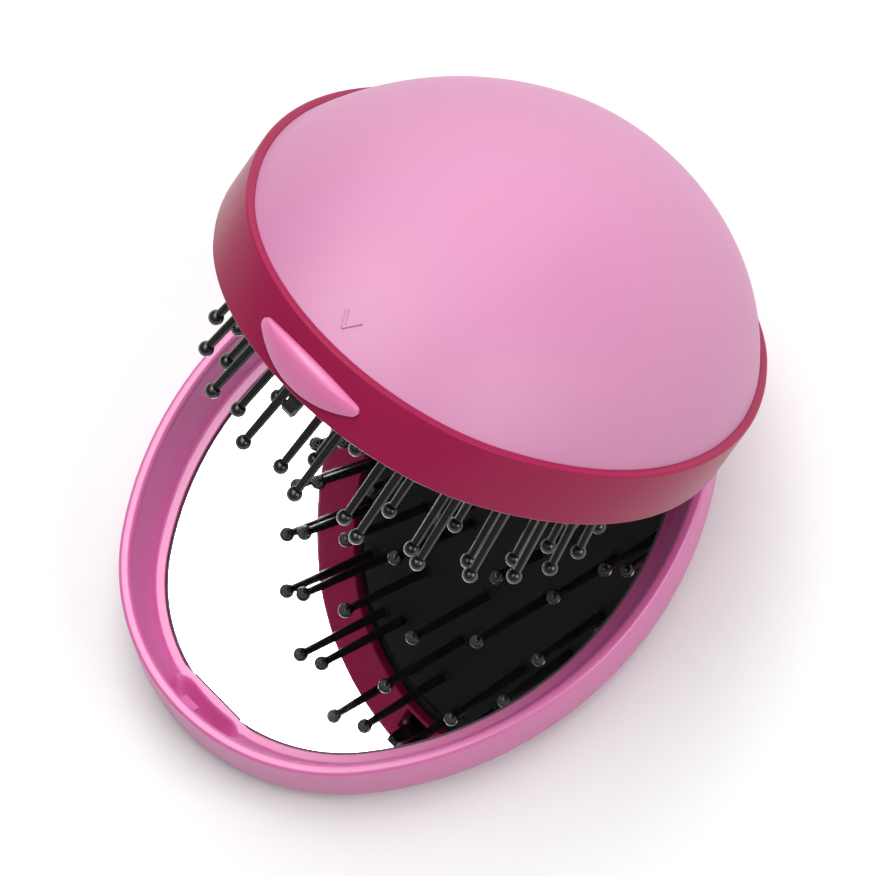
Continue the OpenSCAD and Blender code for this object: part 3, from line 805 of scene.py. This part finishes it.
def cushionSkin(bm):
    loop = ovalLoop(bm, cushion["inset"], 0)
    made = bmesh.ops.extrude_edge_only(bm, edges=loop)["geom"]
    loop = edgesIn(made)
    for v in bm.verts:
        v.co.z = cushion["top"]
    for v in vertsIn(made):
        v.co.z = 0.0
    share = 1.0
    edge, inner = cushion["edgeRings"], cushion["rings"] - cushion["edgeRings"] + 1
    for k in range(cushion["rings"]):
        s = 1 - cushion["edgeShare"] * min(k + 1, edge)
        if k >= edge:
            s = s * (1 - (k - edge + 1) / inner) + cushion["pole"]
        loop = nextLoop(bm, loop, s / share)
        share = s
    closeWithFan(bm, loop)
    for v in bm.verts:
        if v.co.z < cushion["top"] - touch:
            r = v.co.xy.length
            outline = ovalPoint(math.degrees(math.atan2(v.co.y, v.co.x))).length
            fall = max(0.0, 1.0 - (outline - cushion["inset"] - r) / cushion["rollWidth"])
            v.co.z = (cushionCentre - math.sqrt(cushion["radius"] ** 2 - r * r)
                      + cushion["rollHeight"] * fall ** cushion["rollCurve"])
    bmesh.ops.recalc_face_normals(bm, faces=bm.faces[:])


def pinSockets(bm):
    for share, count, turn in cushion["rows"]:
        for i in range(count):
            p = ovalPoint((i + turn) * 360 / count) * share
            tilt = math.asin(p.length / cushion["radius"])
            place = (Matrix.Translation((0, 0, cushionCentre))
                     @ Matrix.Rotation(math.atan2(p.y, p.x), 4, "Z")
                     @ Matrix.Rotation(math.pi - tilt, 4, "Y")
                     @ Matrix.Translation((0, 0, cushion["radius"] - cushion["socketSink"])))
            bmesh.ops.create_cone(bm, cap_ends=True, segments=cushion["socketSides"],
                                  radius1=cushion["socketRadius"],
                                  radius2=cushion["socketRadius"] - cushion["socketTaper"],
                                  depth=2 * cushion["socketHeight"], matrix=place)


cushionBm = shape(cushionSkin)
bmesh.ops.solidify(cushionBm, geom=cushionBm.faces[:], thickness=cushion["wall"])
addInto(cushionBm, shape(pinSockets))
cushionPiece = finishPiece(cushionBm, "pinCushion", onBrush, "pin_pad", ["pin_cushion"],
                           finishes["rubber"], 40.0, recalculate=False)

# Carried-over nodes get their finishes
nodeFinish = {
    "mirror_tape": "tape", "hinge_pin": "steel", "cushion_collar": "rubber", "clamp_ring": "nylon",
    "clamp_screws": "steel", "cushion_plate": "nylon", "pins_outer_row": "nylon",
    "pins_second_row": "nylon", "pins_third_row": "nylon", "pins_centre": "nylon",
    "latch_hook": "nylon", "latch_spring": "steel",
}
for name, finish in nodeFinish.items():
    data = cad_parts[name].data
    data.materials.clear()
    data.materials.append(finishes[finish])
print("finishes laid on")

# Floor, light and camera, in metres
studio = {
    "floor": {"light": "#D8D8D8", "dark": "#D5D5D5"},
    "floorHalf": 3.0,
    "fibre": 2.5,          # millimetres
    "sky": 0.29,
    "aim": (0, 0, 0.03),
    "softBoxes": {         # place, size, power
        "keyLight": ((-0.3, 0.1, 1.5), 1.25, 9.5),
        "backCard": ((0.95, 0.55, 0.7), 1.6, 15.3),
        "frontCard": ((0.5, -1.1, 0.9), 1.0, 13.8),
        "overheadCard": ((0.3, 0.6, 2.0), 1.5, 30.0),   # the white that the mirror shows
    },
    "lens": 493.15,
    "cameraPlace": (-0.21985, -0.42581, 1.45805),
    "cameraTurn": (17.9113, 4.9174, -42.6862),
}
floorBm = bmesh.new()
bmesh.ops.create_grid(floorBm, x_segments=1, y_segments=1, size=studio["floorHalf"])
floor = newObject("floor", toMesh(floorBm, "floor"))
# Matt paper: a pale even ground with a trace of fibre
floorPaper, floorTree, floorShader, floorPlace = newMaterial("paper_backdrop", {"Roughness": 0.9})
fibre = addNode(floorTree, "ShaderNodeTexNoise", {"Scale": 1000 / studio["fibre"], "Detail": 2.0},
                {"Vector": floorPlace})
paper = addNode(floorTree, "ShaderNodeMix", shades(studio["floor"]),
                {"Factor": fibre.outputs["Fac"]})
connect(floorTree, floorShader, {"Base Color": paper.outputs[2]})
floor.data.materials.append(floorPaper)

world = bpy.context.scene.world or bpy.data.worlds.new("studio")
bpy.context.scene.world = world
world.use_nodes = True
world.node_tree.nodes.clear()
sky = addNode(world.node_tree, "ShaderNodeBackground",
              {"Color": (1, 1, 1, 1), "Strength": studio["sky"]})
addNode(world.node_tree, "ShaderNodeOutputWorld", links={"Surface": sky.outputs["Background"]})

for name, (place, size, power) in studio["softBoxes"].items():
    lamp = bpy.data.lights.new(name, "AREA")
    lamp.shape = "SQUARE"
    lamp.size = size
    lamp.energy = power
    softBox = newObject(name, lamp)
    softBox.location = place
    ray = Vector(studio["aim"]) - Vector(place)
    softBox.rotation_euler = ray.to_track_quat("-Z", "Y").to_euler()

cameraData = bpy.data.cameras.new("camera")
cameraData.lens = studio["lens"]
cameraData.sensor_width = 36.0
cameraData.clip_end = 20.0
camera = newObject("camera", cameraData)
camera.location = studio["cameraPlace"]
camera.rotation_euler = [math.radians(a) for a in studio["cameraTurn"]]
bpy.context.scene.camera = camera
bpy.context.scene.view_settings.view_transform = "Standard"
print("studio set")
